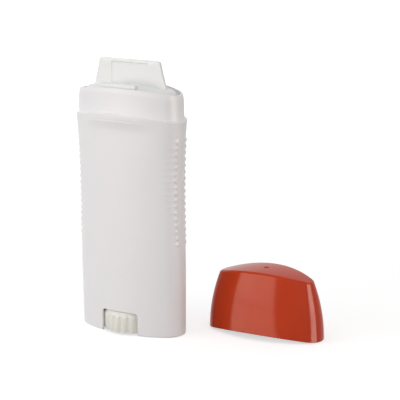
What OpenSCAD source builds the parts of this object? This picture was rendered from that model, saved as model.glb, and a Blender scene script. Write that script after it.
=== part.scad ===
// Oval twist-up container for deodorant balm, empty, with its cap taken off.
// The origin is the centre of the barrel's base, +Z is up and -Y is the front.

/* [Barrel] */
// Width of the barrel at its base
base_w = 59; // [56:0.5:66]
// Depth of the barrel at its base
base_d = 28.6; // [27.5:0.1:34]
// Radius of the barrel's round ends in plan
end_r = 9.5; // [8.9:0.1:11]
// How much wider the belly is than the base
belly_swell = 0.6; // [0:0.1:1.5]
// How much narrower the waist is than the base
waist_inset = 0.2; // [0:0.1:0.4]
// Height of the waist above the base
waist_z = 70; // [60:1:80]
// How much wider and deeper the shoulder is than the base
shoulder_flare = 3.4; // [2.6:0.1:4]
// Height of the shoulder ledge at the ends of the oval
shoulder_z = 110; // [105:1:125]
// Rise of the shoulder ledge from the ends to the middle
shoulder_arch = 3; // [0:0.1:4]
// Width of the step from the shoulder in to the neck
ledge_w = 1.4; // [1.2:0.05:1.6]
// Height of the neck above the ledge
neck_h = 12.5; // [10:0.5:14]
// Radius of the round lower edge of the barrel
foot_round = 0.8; // [0.3:0.1:1]

/* [Chamber] */
// Thickness of the wall at the ends of the waist
end_wall_t = 1.5; // [1.2:0.05:1.6]
// Thickness of the wall behind the label panel
face_wall_t = 1.2; // [1:0.05:1.3]
// Thickness of the chamber floor
floor_t = 1.6; // [1.2:0.1:1.8]
// Thickness of the two cross walls under the floor
cross_wall_t = 1.2; // [1:0.1:2]

/* [Label panel] */
// Depth of the flattened label panel at its middle
panel_depth = 0.6; // [0.2:0.1:0.8]
// Width of the panel at its upper edge
panel_w = 43; // [36:1:46]
// Drop of the panel's upper edge below the ledge
panel_drop = 3; // [2:0.5:6]
// Height over which the panel's upper end curves in
panel_scoop_h = 6; // [3:0.5:10]
// Height at which the panel runs out into the barrel's face
panel_low_z = 24; // [18:1:40]

/* [Grip] */
// Number of beads in each column
bead_count = 17; // [7:1:19]
// Distance from one bead to the next
bead_pitch = 3.25; // [3:0.05:3.6]
// Drop of the topmost bead below the ledge
bead_drop = 10; // [9:0.5:18]
// Radius of the ball that forms a bead
bead_r = 1.3; // [1.2:0.1:1.6]
// How far a bead stands out of the wall
bead_relief = 0.45; // [0.35:0.05:0.8]
// Angle between the end's middle and the column's top bead
bead_angle = 23; // [18:1:28]
// How much further round the column bows at its middle
bead_bow = 3; // [0:1:6]
// Radius of the rounded grip ribs beside the beads
rib_r = 1.4; // [1:0.1:1.8]
// How far a grip rib stands out of the wall
rib_relief = 0.28; // [0.15:0.01:0.4]

/* [Window] */
// Width of the window that the dial shows through
window_w = 21.4; // [18:0.1:24]
// Height of the window above the base
window_h = 11.6; // [10.5:0.1:12.6]
// Radius of the window's upper corners
window_corner_r = 2; // [1:0.1:3]

/* [Dial and screw] */
// How far the dial stands out of the barrel's face
dial_proud = 1.6; // [0.8:0.1:1.8]
// Height of the dial's lower face above the base
dial_z = 1.2; // [0.8:0.1:2]
// Height of the ribbed band
dial_band_h = 7.8; // [6:0.1:8.5]
// How far the dial's shoulder slopes in to its top
dial_slope_w = 1.5; // [1:0.1:4]
// Number of flutes round the dial
flute_count = 24; // [18:1:30]
// Radius of a flute
flute_r = 1.6; // [1.2:0.1:2]
// Depth of a flute
flute_depth = 0.65; // [0.3:0.05:0.9]
// Thickness of the dial's rim, web and spokes
dial_wall = 1.6; // [1.2:0.1:2]
// Radius of the journal that turns in the floor
journal_r = 3.7; // [3.5:0.05:4.4]
// Height of the snap collar that holds the dial under the floor
collar_h = 1.8; // [1.4:0.1:2.4]
// How far the snap collar overlaps the floor
collar_grip = 0.55; // [0.3:0.05:0.8]
// Radius of the screw over its thread
screw_r = 3.2; // [3:0.05:3.4]
// Gap between the screw's tip and the level of the seal's lower edge
screw_end_gap = 1.5; // [1:0.5:4]

/* [Elevator] */
// Height of the elevator's skirt
skirt_h = 7.5; // [6:0.5:9]
// Thickness of the elevator's plate and skirt
elevator_t = 1.2; // [1:0.1:1.6]
// Height of the plate above the lower edge of the skirt
plate_lift = 3.6; // [3:0.1:4.5]
// Outer radius of the threaded hub
hub_r = 5.2; // [4.8:0.1:6]
// Height of the hub
hub_h = 8.4; // [7:0.1:10]
// Number of fins that key the balm to the plate
fin_count = 4; // [2:2:8]

/* [Seal] */
// Height of the pull tab above the middle of the mouth's rim
tab_h = 12.6; // [8:0.2:13]
// Width of the tab at its upper edge
tab_top_w = 35.4; // [30:0.5:38]
// Width of the tab where it meets the seal
tab_foot_w = 42.6; // [38:0.5:44]
// Radius of the tab's upper corners
tab_corner_r = 1.6; // [1:0.1:3]
// Thickness of the tab's frame
tab_t = 1.8; // [1.4:0.1:2.2]
// Width of the thumb panel sunk into the tab
thumb_w = 21; // [16:0.5:24]
// Depth of the thumb panel on each side
thumb_depth = 0.4; // [0.2:0.05:0.5]
// Thickness of the seal's dome and plug
seal_t = 0.9; // [0.7:0.1:1.2]
// Drop of the seal's edge below the mouth's rim
seal_drop = 2.6; // [2:0.1:3.5]
// Length of the plug below the seal's edge
plug_h = 3.2; // [2:0.1:4]
// Width of the lips that rest over the rim
lip_w = 21; // [14:0.5:26]
// Thickness of the lips
lip_t = 1.8; // [1.2:0.1:2.2]

/* [Cap] */
// Height of the cap at its ends
cap_h = 29.8; // [28:0.1:32]
// Rise of the cap's top from the ends to the middle
cap_arch = 3.9; // [2:0.1:5]
// How much narrower the cap's top is than its rim
cap_taper_w = 11.2; // [8:0.2:13]
// How much shallower the cap's top is than its rim
cap_taper_d = 10.3; // [8:0.1:12]
// Radius of the cap's round ends at the top, in plan
cap_top_r = 4.6; // [4:0.1:7]
// Thickness of the cap's wall
cap_t = 0.9; // [0.7:0.05:1.1]
// Radius of the cap's upper edge
cap_edge_r = 0.8; // [0.4:0.1:1.2]
// Gap across between the shoulder of the barrel and the cap beside it
cap_gap = 0.6; // [0.6:0.2:30]
// Distance that the cap stands behind the barrel's centre
cap_back = 26; // [22:0.5:60]
// Turn of the cap on the surface
cap_turn = 2.5; // [0:0.5:6]

/* [Clearances] */
// Running clearance of the journal and the screw
running_fit = 0.06; // [0.02:0.01:0.1]
// Gap between pieces that slide or seat
seat_gap = 0.3; // [0.2:0.05:0.5]
// Gap round the dial in its well
dial_gap = 0.4; // [0.3:0.05:0.8]

/* [Hidden] */

$fn = 96;
// Segments on each long face and on each round end of an oval
face_steps = 14;
end_steps = 12;
// Share of a change in the barrel's width that also goes into its depth
depth_share = 0.5;
// Power of the curve by which the waist flares out to the shoulder
flare_power = 2.2;
// Size of the small bevels on moulded edges
edge_break = 0.3;
// How far a wall or rib runs into what carries it
sink = 0.2;
// Beads and ribs start this far outside the chamber, inside the wall
grip_root = 0.5;
// The floor's underside is level with the window's upper edge
floor_z = window_h + floor_t;
belly_z = waist_z / 2;
base_a = base_w / 2;
base_b = base_d / 2;
shoulder_a = base_a + shoulder_flare / 2;
shoulder_b = base_b + depth_share * shoulder_flare / 2;
shoulder_r = end_r + 0.5;
neck_a = shoulder_a - ledge_w;
neck_b = shoulder_b - ledge_w;
neck_r = end_r - 0.4;
neck_top_z = shoulder_z + neck_h;
neck_draft = 0.23;
lead_in_h = 2.5;
lead_in_w = 0.6;
rim_arch = shoulder_arch + 0.2;
rim_a = neck_a - neck_draft - lead_in_w;
rim_b = neck_b - neck_draft - lead_in_w;
rim_r = end_r - 0.9;
chamber_a = base_a - waist_inset / 2 - end_wall_t;
chamber_b = base_b - depth_share * waist_inset / 2 - panel_depth - face_wall_t;
bead_top_z = shoulder_z - bead_drop;
chamber_r = end_r - 1.5;
panel_top_z = shoulder_z - panel_drop;
// The panel's widening per millimetre below its upper edge
panel_splay = 0.06;
// The first and the last bead are wider
bead_end_r = 1.8;
// The ribs fill this share of the column, start this far round from the beads and reach this far.
// The skew moves the longest rib up
rib_rows = 0.85;
rib_start = 8;
rib_reach = 40;
rib_skew = 0.65;
dial_r = base_b + dial_proud;
cross_wall_x = dial_r + 3;
cross_wall_low_z = 3;
cross_wall_h = floor_z - floor_t - cross_wall_low_z + sink;
dial_top_r = dial_r - dial_slope_w;
dial_top_z = floor_z - floor_t - seat_gap;
dial_band_z = dial_z + dial_band_h;
// How far a flute runs up into the sloping shoulder
flute_run_out = 0.5;
spoke_count = 6;
spoke_z = dial_z + 1;
spoke_h = dial_band_h - dial_wall;
bore_r = journal_r + running_fit;
collar_z = floor_z + seat_gap;
collar_r = journal_r + collar_grip;
elevator_z = floor_z + seat_gap;
elevator_a = chamber_a - seat_gap;
elevator_b = chamber_b - seat_gap;
elevator_r = chamber_r - seat_gap;
hub_z = collar_z + collar_h + seat_gap;
nut_r = screw_r + running_fit;
plate_z = elevator_z + plate_lift;
fin_h = 4;
fin_len = elevator_b - elevator_t - 2;
seal_a = chamber_a - seat_gap;
seal_b = chamber_b - seat_gap;
seal_r = chamber_r - seat_gap;
seal_edge_z = neck_top_z - seal_drop;
plug_low_z = seal_edge_z - plug_h;
screw_top_z = plug_low_z - screw_end_gap;
// The dome's shoulder is a ring inside the edge, and the crown rises from it
dome_inset = 4;
dome_a = seal_a - dome_inset;
dome_z = neck_top_z + 1.7;
dome_arch = 1.6;
dome_crown = 0.2;
tab_top_z = neck_top_z + rim_arch + tab_h;
tab_frame = 1.9;
seal_edge_r = 0.4;
lip_inner_y = seal_b - dome_inset + 1;
lip_gap = 0.1;
// The lips rest on the rim
lip_z = neck_top_z + lip_gap;
cap_a = shoulder_a;
cap_b = shoulder_b;
cap_r = shoulder_r;
cap_top_a = cap_a - cap_taper_w / 2;
cap_top_b = cap_b - cap_taper_d / 2;
cap_x = 2 * shoulder_a + cap_gap;
cap_power = 2;
cap_rings = 9;
cap_crown = 0.3;
gate_r = 1.3;
gate_depth = 0.4;
// Scale of the small ring that closes a loft at its middle
eye = 0.03;
// How far a cutting shape runs past the face it cuts
over = 1;

// A four-arc oval has half width a, half depth b and round ends of radius r.
// face_c is how far the face arc's centre lies behind the oval's centre.
function face_c(a, b, r) = ((a - r) ^ 2 - (b - r) ^ 2) / (2 * (b - r));
function face_half_angle(a, b, r) = atan2(a - r, face_c(a, b, r));

function face_arc(a, b, r, side) =
    let (c = face_c(a, b, r), t = face_half_angle(a, b, r))
    [for (i = [0:face_steps - 1])
        let (s = -t + 2 * t * i / face_steps)
        side * [(b + c) * sin(s), c - (b + c) * cos(s)]];

function end_arc(a, b, r, side) =
    let (t = 90 - face_half_angle(a, b, r))
    [for (i = [0:end_steps - 1])
        let (s = -t + 2 * t * i / end_steps)
        side * [a - r + r * cos(s), r * sin(s)]];

function oval(a, b, r) = concat(
    face_arc(a, b, r, 1), end_arc(a, b, r, 1),
    face_arc(a, b, r, -1), end_arc(a, b, r, -1));

// An oval ring whose height rises by arch from its ends to its middle
function ring(z, a, b, r, arch = 0) =
    [for (p = oval(a, b, r)) [p.x, p.y, z + arch * (1 - (p.x / a) ^ 2)]];

// The same surface shrunk to the share s of its outline, for the inside of a domed or flat face
function inner_ring(s, z, a, b, r, arch = 0, crown = 0) =
    ring(z + (arch + crown) * (1 - s ^ 2), a * s, b * s, r * s, arch * s ^ 2);

function smooth(t) = t * t * (3 - 2 * t);

// Change of the half width from the base to the belly, the waist and the shoulder
function swell(z) =
    z < belly_z ? belly_swell / 2 * smooth(z / belly_z) :
    z < waist_z ? belly_swell / 2 - (belly_swell + waist_inset) / 2
        * smooth((z - belly_z) / (waist_z - belly_z)) :
    -waist_inset / 2 + (shoulder_flare + waist_inset) / 2
        * ((z - waist_z) / (shoulder_z - waist_z)) ^ flare_power;

function half_w(z) = base_a + swell(z);
function half_d(z) = base_b + depth_share * swell(z);
function corner_r(z) = end_r + (shoulder_r - end_r) * max(0, z - waist_z) / (shoulder_z - waist_z);
function arch_at(z) = shoulder_arch * max(0, z - waist_z) / (shoulder_z - waist_z);

// Depth of the label panel at a point of the face. The panel stays upright where the face flares out
function panel_cut(x, z) =
    let (half = panel_w / 2 + panel_splay * (panel_top_z - z),
         fade = smooth(min(1, max(0, (z - panel_low_z) / (panel_top_z - panel_low_z)))),
         flare = z < waist_z ? 0 : depth_share * (swell(z) + waist_inset / 2),
         t = min(1, (panel_top_z - z) / panel_scoop_h),
         scoop = 1 - (1 - t) ^ 3 * (1 + 3 * t))
    (panel_depth * fade + flare) * scoop * max(0, 1 - (x / half) ^ 2);

function wall_ring(z, inset = 0, panel = 0) =
    [for (p = ring(z, half_w(z) - inset, half_d(z) - inset, corner_r(z) - inset, arch_at(z)))
        [p.x, p.y - sign(p.y) * panel * panel_cut(p.x, z), p.z]];

// A closed skin over a chain of rings that all have the same number of points
module loft(rings) {
    n = len(rings[0]);
    last = len(rings) - 1;
    sides = [for (k = [0:last - 1]) for (i = [0:n - 1])
        let (j = (i + 1) % n, low = k * n, high = (k + 1) * n)
        each [[low + i, high + j, low + j], [low + i, high + i, high + j]]];
    caps = [[for (i = [0:n - 1]) i], [for (i = [n - 1:-1:0]) last * n + i]];
    polyhedron(points = [for (r = rings) each r], faces = concat(sides, caps));
}

function chamber_ring(z, arch = 0) = ring(z, chamber_a, chamber_b, chamber_r, arch);
function chamber_eye(z) = inner_ring(eye, z, chamber_a, chamber_b, chamber_r);

// The barrel's skin as one chain: under the floor, down the skirt, up the outside and down inside
module barrel_shell() {
    foot = [for (s = [0:30:90]) [foot_round * (1 - sin(s)), foot_round * (1 - cos(s))]];
    low = [for (k = [1:3]) foot_round + (panel_low_z - foot_round) * k / 3];
    scoop_z = panel_top_z - panel_scoop_h;
    mid = [for (k = [1:12]) panel_low_z + (scoop_z - panel_low_z) * k / 12];
    high = [for (share = [0.2, 0.4, 0.55, 0.7, 0.8, 0.9]) scoop_z + panel_scoop_h * share];
    loft(concat(
        [chamber_eye(floor_z - floor_t)],
        [chamber_ring(floor_z - floor_t)],
        [chamber_ring(0)],
        [for (f = foot) wall_ring(f.y, f.x)],
        [for (z = low) wall_ring(z)],
        [for (z = concat(mid, high)) wall_ring(z, 0, 1)],
        [wall_ring(panel_top_z)],
        [wall_ring(shoulder_z - edge_break)],
        [wall_ring(shoulder_z, edge_break)],
        [ring(shoulder_z, neck_a, neck_b, neck_r, shoulder_arch)],
        [ring(neck_top_z - lead_in_h, neck_a - neck_draft, neck_b - neck_draft, neck_r, rim_arch)],
        [ring(neck_top_z - edge_break / 2, rim_a, rim_b, rim_r, rim_arch)],
        [ring(neck_top_z, rim_a - edge_break / 2, rim_b - edge_break / 2, rim_r, rim_arch)],
        [chamber_ring(neck_top_z, rim_arch)],
        [chamber_ring(floor_z)],
        [chamber_eye(floor_z)]));
}

module beads() {
    for (side = [-1, 1], face = [-1, 1], i = [0:bead_count - 1]) {
        u = i / (bead_count - 1);
        at_end = i == 0 || i == bead_count - 1;
        ball = at_end ? bead_end_r : bead_r;
        z = bead_top_z - i * bead_pitch;
        angle = bead_angle + bead_bow * sin(180 * u);
        reach = corner_r(z) + bead_relief - ball;
        y_out = reach * sin(angle);
        x_out = half_w(z) - corner_r(z) + reach * cos(angle);
        translate([side * x_out, face * y_out, z]) sphere(r = ball, $fn = 24);
    }
}

// Rounded ribs that follow the end's curve, longest in the middle of a crescent
module grip_ribs() {
    for (side = [0, 180], face = [0, 1], i = [1:floor(rib_rows * (bead_count - 1)) - 1]) {
        u = i / (bead_count - 1);
        z = bead_top_z - i * bead_pitch;
        start = bead_angle + bead_bow * sin(180 * u) + rib_start;
        span = rib_reach * sin(180 * (u / rib_rows) ^ rib_skew);
        translate([0, 0, z]) rotate([0, 0, side]) mirror([0, face, 0])
            translate([half_w(z) - corner_r(z), 0, 0]) rotate([0, 0, start])
                rotate_extrude(angle = span) translate([corner_r(z) + rib_relief - rib_r, 0])
                    circle(r = rib_r, $fn = 24);
    }
}

// The whole grip, cut off inside the wall so that the chamber stays smooth
module grip() {
    difference() {
        union() {
            beads();
            grip_ribs();
        }
        translate([0, 0, panel_low_z]) linear_extrude(height = shoulder_z)
            polygon(oval(chamber_a + grip_root, chamber_b + grip_root, chamber_r + grip_root));
    }
}

// The window is open downwards and goes through the front and the back wall
module window_cut() {
    wide = window_w / 2;
    corner = window_corner_r;
    rotate([90, 0, 0]) linear_extrude(height = shoulder_b * 4, center = true) union() {
        translate([-wide, -over]) square([window_w, window_h - corner + over]);
        translate([corner - wide, -over]) square([window_w - 2 * corner, window_h + over]);
        for (side = [-1, 1]) translate([side * (wide - corner), window_h - corner])
            circle(r = corner);
    }
}

// Two walls under the floor, from the front wall to the back wall, close the dial's well
module cross_walls() {
    intersection() {
        for (side = [-1, 1]) translate([side * cross_wall_x, 0, cross_wall_low_z + cross_wall_h / 2])
            cube([cross_wall_t, 2 * base_b, cross_wall_h], center = true);
        linear_extrude(height = floor_z)
            polygon(oval(chamber_a + sink, chamber_b + sink, chamber_r + sink));
    }
}

module barrel() {
    color("#e9e7e5") difference() {
        union() {
            barrel_shell();
            grip();
            cross_walls();
        }
        window_cut();
        translate([0, 0, -over]) cylinder(r = dial_r + dial_gap, h = floor_z - floor_t + over);
        cylinder(r = bore_r, h = floor_z + over);
    }
}

// Outline of the dial and its screw, turned round the axis
function dial_outline() = [
    [0, dial_z + dial_wall], [journal_r + dial_wall, dial_z + dial_wall],
    [journal_r + dial_wall, dial_top_z - dial_wall], [dial_top_r - dial_wall, dial_top_z - dial_wall],
    [dial_r - flute_depth - dial_wall, dial_band_z - dial_wall],
    [dial_r - flute_depth - dial_wall, dial_z],
    [dial_r - edge_break, dial_z], [dial_r, dial_z + edge_break], [dial_r, dial_band_z],
    [dial_top_r, dial_top_z], [journal_r, dial_top_z], [journal_r, collar_z],
    [collar_r, collar_z], [collar_r, collar_z + collar_h / 2], [screw_r, collar_z + collar_h],
    [screw_r, screw_top_z - 1], [screw_r - 1, screw_top_z], [0, screw_top_z]];

module dial_screw() {
    spoke_len = dial_r - flute_depth - dial_wall / 2 - journal_r;
    color("#e4e0d6") difference() {
        union() {
            rotate_extrude() polygon(dial_outline());
            for (k = [0:spoke_count - 1]) rotate([0, 0, 360 * k / spoke_count])
                translate([journal_r, -dial_wall / 2, spoke_z]) cube([spoke_len, dial_wall, spoke_h]);
        }
        for (k = [0:flute_count - 1]) rotate([0, 0, 360 * (k + 0.5) / flute_count])
            translate([dial_r - flute_depth + flute_r, 0, dial_z - over])
                cylinder(r = flute_r, h = dial_band_h + over + flute_run_out);
    }
}

module elevator_prism(inset, z, h) {
    translate([0, 0, z]) linear_extrude(height = h)
        polygon(oval(elevator_a - inset, elevator_b - inset, elevator_r - inset));
}

module elevator() {
    color("#e6e4e0") difference() {
        union() {
            difference() {
                elevator_prism(0, elevator_z, skirt_h);
                elevator_prism(elevator_t, elevator_z - over, plate_lift + over);
                elevator_prism(elevator_t, plate_z + elevator_t, skirt_h);
            }
            translate([0, 0, hub_z]) cylinder(r = hub_r, h = hub_h);
            for (k = [0:fin_count - 1]) rotate([0, 0, 360 * (k + 0.5) / fin_count])
                translate([0, -elevator_t / 2, plate_z + elevator_t / 2])
                    cube([fin_len, elevator_t, fin_h]);
        }
        translate([0, 0, hub_z - over]) cylinder(r = nut_r, h = hub_h + 2 * over);
    }
}

// Height of the dome's upper surface along the tab's foot
function dome_height(x) = dome_z + (dome_arch + dome_crown) * (1 - (x / dome_a) ^ 2);

// The share t runs from the seal's edge to the shoulder of its dome
function seal_ring(t, drop, inset) =
    let (rise = sin(90 * t), in = inset + (dome_inset - inset) * t)
    ring(seal_edge_z + (dome_z - seal_edge_z) * rise - drop,
        seal_a - in, seal_b - in, seal_r - in, rim_arch + (dome_arch - rim_arch) * rise);

function crown_ring(s, drop) =
    inner_ring(s, dome_z - drop, dome_a, seal_b - dome_inset, seal_r - dome_inset, dome_arch, dome_crown);

// The dome and its plug as one chain: the underside from its middle outwards, then the upper side
module seal_shell() {
    loft(concat(
        [for (s = [eye, 0.4, 0.7]) crown_ring(s, seal_t)],
        [for (t = [1:-0.25:0]) seal_ring(t, seal_t, seal_t)],
        [ring(plug_low_z, seal_a - seal_t, seal_b - seal_t, seal_r - seal_t)],
        [ring(plug_low_z, seal_a, seal_b, seal_r)],
        [ring(seal_edge_z - seal_edge_r, seal_a, seal_b, seal_r, rim_arch)],
        [for (t = [0:0.25:1]) seal_ring(t, 0, seal_edge_r)],
        [for (s = [0.8, 0.6, 0.4, 0.2, eye]) crown_ring(s, 0)]));
}

// Half of the tab's outline from the top's middle round the corner to the foot
function tab_side() =
    let (half = tab_top_w / 2, foot = tab_foot_w / 2, r = tab_corner_r,
         k = (foot - half) / (tab_top_z - dome_height(foot)),
         cx = half + k * r - r * sqrt(1 + k * k))
    concat([for (i = [0:6]) let (f = 90 - (90 - atan(k)) * i / 6)
        [cx + r * cos(f), tab_top_z - r + r * sin(f)]],
        [for (i = [6:-1:0]) [foot * i / 6, dome_height(foot * i / 6) - seal_t / 2]]);

function mirrored(half) =
    concat(half, [for (i = [len(half) - 2:-1:0]) [-half[i].x, half[i].y]]);

module tab() {
    thumb_z = dome_height(0) - seal_t / 2;
    difference() {
        rotate([90, 0, 0]) linear_extrude(height = tab_t, center = true)
            polygon(mirrored(tab_side()));
        for (side = [-1, 1]) translate([0, side * tab_t / 2, (thumb_z + tab_top_z - tab_frame) / 2])
            cube([thumb_w, 2 * thumb_depth, tab_top_z - tab_frame - thumb_z], center = true);
    }
}

// An upright band that follows the arch of the mouth's rim, as wide as the lips
module lip_band(low, high) {
    xs = [for (i = [-6:6]) lip_w / 2 * i / 6];
    function line(z, x) = [x, z + rim_arch * (1 - (x / rim_a) ^ 2)];
    rotate([90, 0, 0]) linear_extrude(height = 4 * rim_b, center = true)
        polygon(concat([for (x = xs) line(low, x)], [for (i = [12:-1:0]) line(high, xs[i])]));
}

// A lip at the front and one at the back: each rests over the rim and joins the dome's edge
module lips() {
    difference() {
        union() {
            intersection() {
                lip_band(lip_z, lip_z + lip_t);
                linear_extrude(height = tab_top_z) polygon(oval(rim_a, rim_b, rim_r));
            }
            intersection() {
                lip_band(seal_edge_z - seal_t, lip_z + lip_t);
                linear_extrude(height = tab_top_z)
                    polygon(oval(seal_a - sink, seal_b - sink, seal_r - sink));
            }
        }
        translate([-lip_w, -lip_inner_y, 0]) cube([2 * lip_w, 2 * lip_inner_y, tab_top_z]);
    }
}

module seal() {
    color("#eceae8") union() {
        seal_shell();
        tab();
        lips();
    }
}

// A ring of the cap's wall at the share t of its height, with the same arch as the shoulder below
function cap_ring(t, inset) =
    let (bend = t ^ cap_power)
    ring(cap_h * t, cap_a - (cap_a - cap_top_a) * bend - inset,
        cap_b - (cap_b - cap_top_b) * bend - inset,
        cap_r - (cap_r - cap_top_r) * bend - inset,
        shoulder_arch + (cap_arch - shoulder_arch) * t);

function cap_top_ring(s, inset, drop) =
    inner_ring(s, cap_h - drop, cap_top_a - inset, cap_top_b - inset, cap_top_r - inset, cap_arch, cap_crown);

// The cap's skin as one chain: the inside from its middle down to the rim, then up the outside
module cap_shell() {
    edge = cap_edge_r;
    top = 1 - edge / cap_h;
    loft(concat(
        [for (s = [eye, 0.4, 0.7, 0.9]) cap_top_ring(s, cap_t, cap_t)],
        [for (k = [cap_rings:-1:0]) cap_ring(top * k / cap_rings, cap_t)],
        [for (k = [0:cap_rings]) cap_ring(top * k / cap_rings, 0)],
        [for (s = [30, 60, 90]) cap_top_ring(1, edge * (1 - cos(s)), edge * (1 - sin(s)))],
        [for (s = [0.9, 0.7, 0.5, 0.3, 0.15, eye]) cap_top_ring(s, edge, 0)]));
}

module cap() {
    color("#b03a22") translate([cap_x, cap_back, 0]) rotate([0, 0, cap_turn]) difference() {
        cap_shell();
        translate([0, 0, cap_h + cap_arch + cap_crown - gate_depth])
            cylinder(r = gate_r, h = gate_depth + over);
    }
}

barrel();
dial_screw();
elevator();
seal();
cap();
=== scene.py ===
"""An empty twist-up balm container: oval white barrel, fluted dial with its lead screw, elevator,
pull-tab seal, and the red cap that was taken off and stands beside it.

Lengths in this script are millimetres, in the frame of the CAD model: the origin is the centre of
the barrel's base, +Z is up and -Y is the front. The meshes are made in metres.
"""
import math

import bpy
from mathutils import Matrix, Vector


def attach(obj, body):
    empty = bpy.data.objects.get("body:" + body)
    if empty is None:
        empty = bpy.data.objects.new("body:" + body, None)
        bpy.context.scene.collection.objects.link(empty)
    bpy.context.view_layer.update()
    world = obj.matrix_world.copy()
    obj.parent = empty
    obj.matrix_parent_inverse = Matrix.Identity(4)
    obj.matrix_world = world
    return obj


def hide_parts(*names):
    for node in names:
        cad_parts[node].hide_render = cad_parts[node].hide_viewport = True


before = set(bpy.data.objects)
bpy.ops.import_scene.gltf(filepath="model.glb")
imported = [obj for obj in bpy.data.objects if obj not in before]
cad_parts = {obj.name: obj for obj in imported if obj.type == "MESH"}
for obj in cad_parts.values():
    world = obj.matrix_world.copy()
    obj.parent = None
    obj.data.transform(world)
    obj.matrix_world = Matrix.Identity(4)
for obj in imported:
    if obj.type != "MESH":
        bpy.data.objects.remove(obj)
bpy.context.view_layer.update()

MM = 0.001
EYE = 0.03  # share of a face's outline at which the fill of its middle begins
CORE_R = 0.1  # radius of the innermost ring of a turned face
SOFT = 0.2  # usual round of an edge
CUT_PAST = 1.0  # how far a cutter reaches past the face that it cuts

# Outline of the barrel from the base to the mouth
BASE_A, BASE_B, END_R = 29.5, 14.3, 9.5
BELLY_Z, WAIST_Z, SHOULDER_Z = 35.0, 70.0, 110.0
BELLY_SWELL, WAIST_INSET, SHOULDER_FLARE, FLARE_POWER = 0.6, 0.2, 3.4, 2.2
SHOULDER_A, SHOULDER_B, SHOULDER_R, SHOULDER_ARCH = 31.2, 15.15, 10.0, 3.0
NECK_A, NECK_B, NECK_R, NECK_TOP_Z, NECK_DRAFT = 29.8, 13.75, 9.1, 122.5, 0.23
RIM_A, RIM_B, RIM_R, RIM_ARCH, LEAD_IN_H = 28.97, 12.92, 8.6, 3.2, 2.5
CHAMBER_A, CHAMBER_B, CHAMBER_R = 27.9, 12.45, 8.0
FLOOR_Z, FLOOR_T, FOOT_ROUND, LEDGE_ROUND, LEDGE_FILLET = 13.2, 1.6, 0.8, 0.5, 0.25

# The flattened label panel on each face: its upper end curves in below a faint rim
PANEL_DEPTH, PANEL_W, PANEL_TOP_Z, PANEL_LOW_Z, PANEL_SPLAY = 0.6, 43.0, 107.0, 24.0, 0.06
PANEL_SCOOP_H, PANEL_RIM_H, PANEL_RIM_W = 6.0, 0.12, 0.6

# Grip: a bowed column of beads at each corner, and rounded ribs beside it
BEADS, BEAD_TOP_Z, BEAD_PITCH, BEAD_ANGLE, BEAD_BOW = 17, 100.0, 3.25, 23.0, 3.0
BEAD_R, BEAD_RELIEF, END_BEAD_R = 1.45, 0.58, 1.9
RIB_ROWS, RIB_START, RIB_REACH, RIB_SKEW, RIB_R, RIB_RELIEF = 0.85, 8.0, 40.0, 0.65, 1.4, 0.13
RINGS_PER_BEAD, GRIP_MARGIN = 12, 2.2
GRIP_BLEND = 0.12  # how softly a bead or rib runs into the wall

# Window, dial and lead screw
WINDOW_W, WINDOW_H, WINDOW_R, WINDOW_BREAK = 21.4, 11.6, 2.0, 0.3
WELL_R, CROSS_WALL_X, CROSS_WALL_T, CROSS_WALL_Z = 16.1, 18.9, 1.2, 3.0
DIAL_R, DIAL_Z, DIAL_BAND_Z, DIAL_TOP_Z, DIAL_TOP_R, DIAL_WALL = 15.9, 1.2, 9.0, 11.45, 14.4, 1.6
FLUTES, FLUTE_R, FLUTE_DEPTH, FLUTE_COLUMNS, FLUTE_BLEND = 24, 1.6, 0.65, 14, 0.1
SPOKES, SPOKE_Z, SPOKE_H = 6, 2.2, 6.2
JOURNAL_R, BORE_R, COLLAR_R, COLLAR_Z, COLLAR_H = 3.7, 3.76, 4.25, 13.5, 1.8
SCREW_R, SCREW_TOP_Z, SCREW_LEAD = 3.2, 115.2, 3.0
THREAD_DEPTH, THREAD_START, THREAD_RUN_IN, THREAD_TIP = 0.75, 1.0, 2.0, 1.0
THREAD_CREST, THREAD_FLANK, THREAD_COLUMNS, RINGS_PER_TURN = 0.34, 0.16, 40, 16

# Elevator
LIFT_A, LIFT_B, LIFT_R, LIFT_Z, SKIRT_H, LIFT_T, PLATE_Z = 27.6, 12.15, 7.7, 13.5, 7.5, 1.2, 17.1
HUB_R, HUB_Z, HUB_H, HUB_ROUND, NUT_R = 5.2, 15.6, 8.4, 0.4, 3.26
FINS, FIN_H, FIN_LEN, FIN_ROOT = 4, 4.0, 8.95, 0.6

# Seal
SEAL_A, SEAL_B, SEAL_R, SEAL_T, SEAL_EDGE_Z, PLUG_LOW_Z = 27.6, 12.15, 7.7, 0.9, 119.9, 116.7
SEAL_EDGE_R, DOME_INSET, DOME_Z, DOME_ARCH, DOME_CROWN = 0.4, 4.0, 124.2, 1.6, 0.2
TAB_TOP_Z, TAB_TOP_W, TAB_FOOT_W, TAB_R, TAB_T, TAB_ROUND = 138.3, 35.4, 42.6, 1.6, 1.8, 0.3
THUMB_W, THUMB_DEPTH, THUMB_SLOPE, TAB_FRAME = 21.0, 0.4, 0.6, 1.9
LIP_W, LIP_T, LIP_INNER_Y, LIP_INSET, LIP_LOW_Z, LIP_ROUND = 21.0, 1.8, 9.15, 0.2, 122.6, 0.4

# Cap, and where it stands
CAP_H, CAP_ARCH, CAP_CROWN, CAP_T, CAP_EDGE_R, CAP_POWER = 29.8, 3.9, 0.3, 0.9, 0.8, 2.0
CAP_TOP_A, CAP_TOP_B, CAP_TOP_R = 25.6, 10.0, 4.6
CAP_X, CAP_Y, CAP_TURN = 63.0, 26.0, 2.5
GATE_R, GATE_DEPTH, GATE_STUB_R = 1.3, 0.4, 0.35

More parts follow.
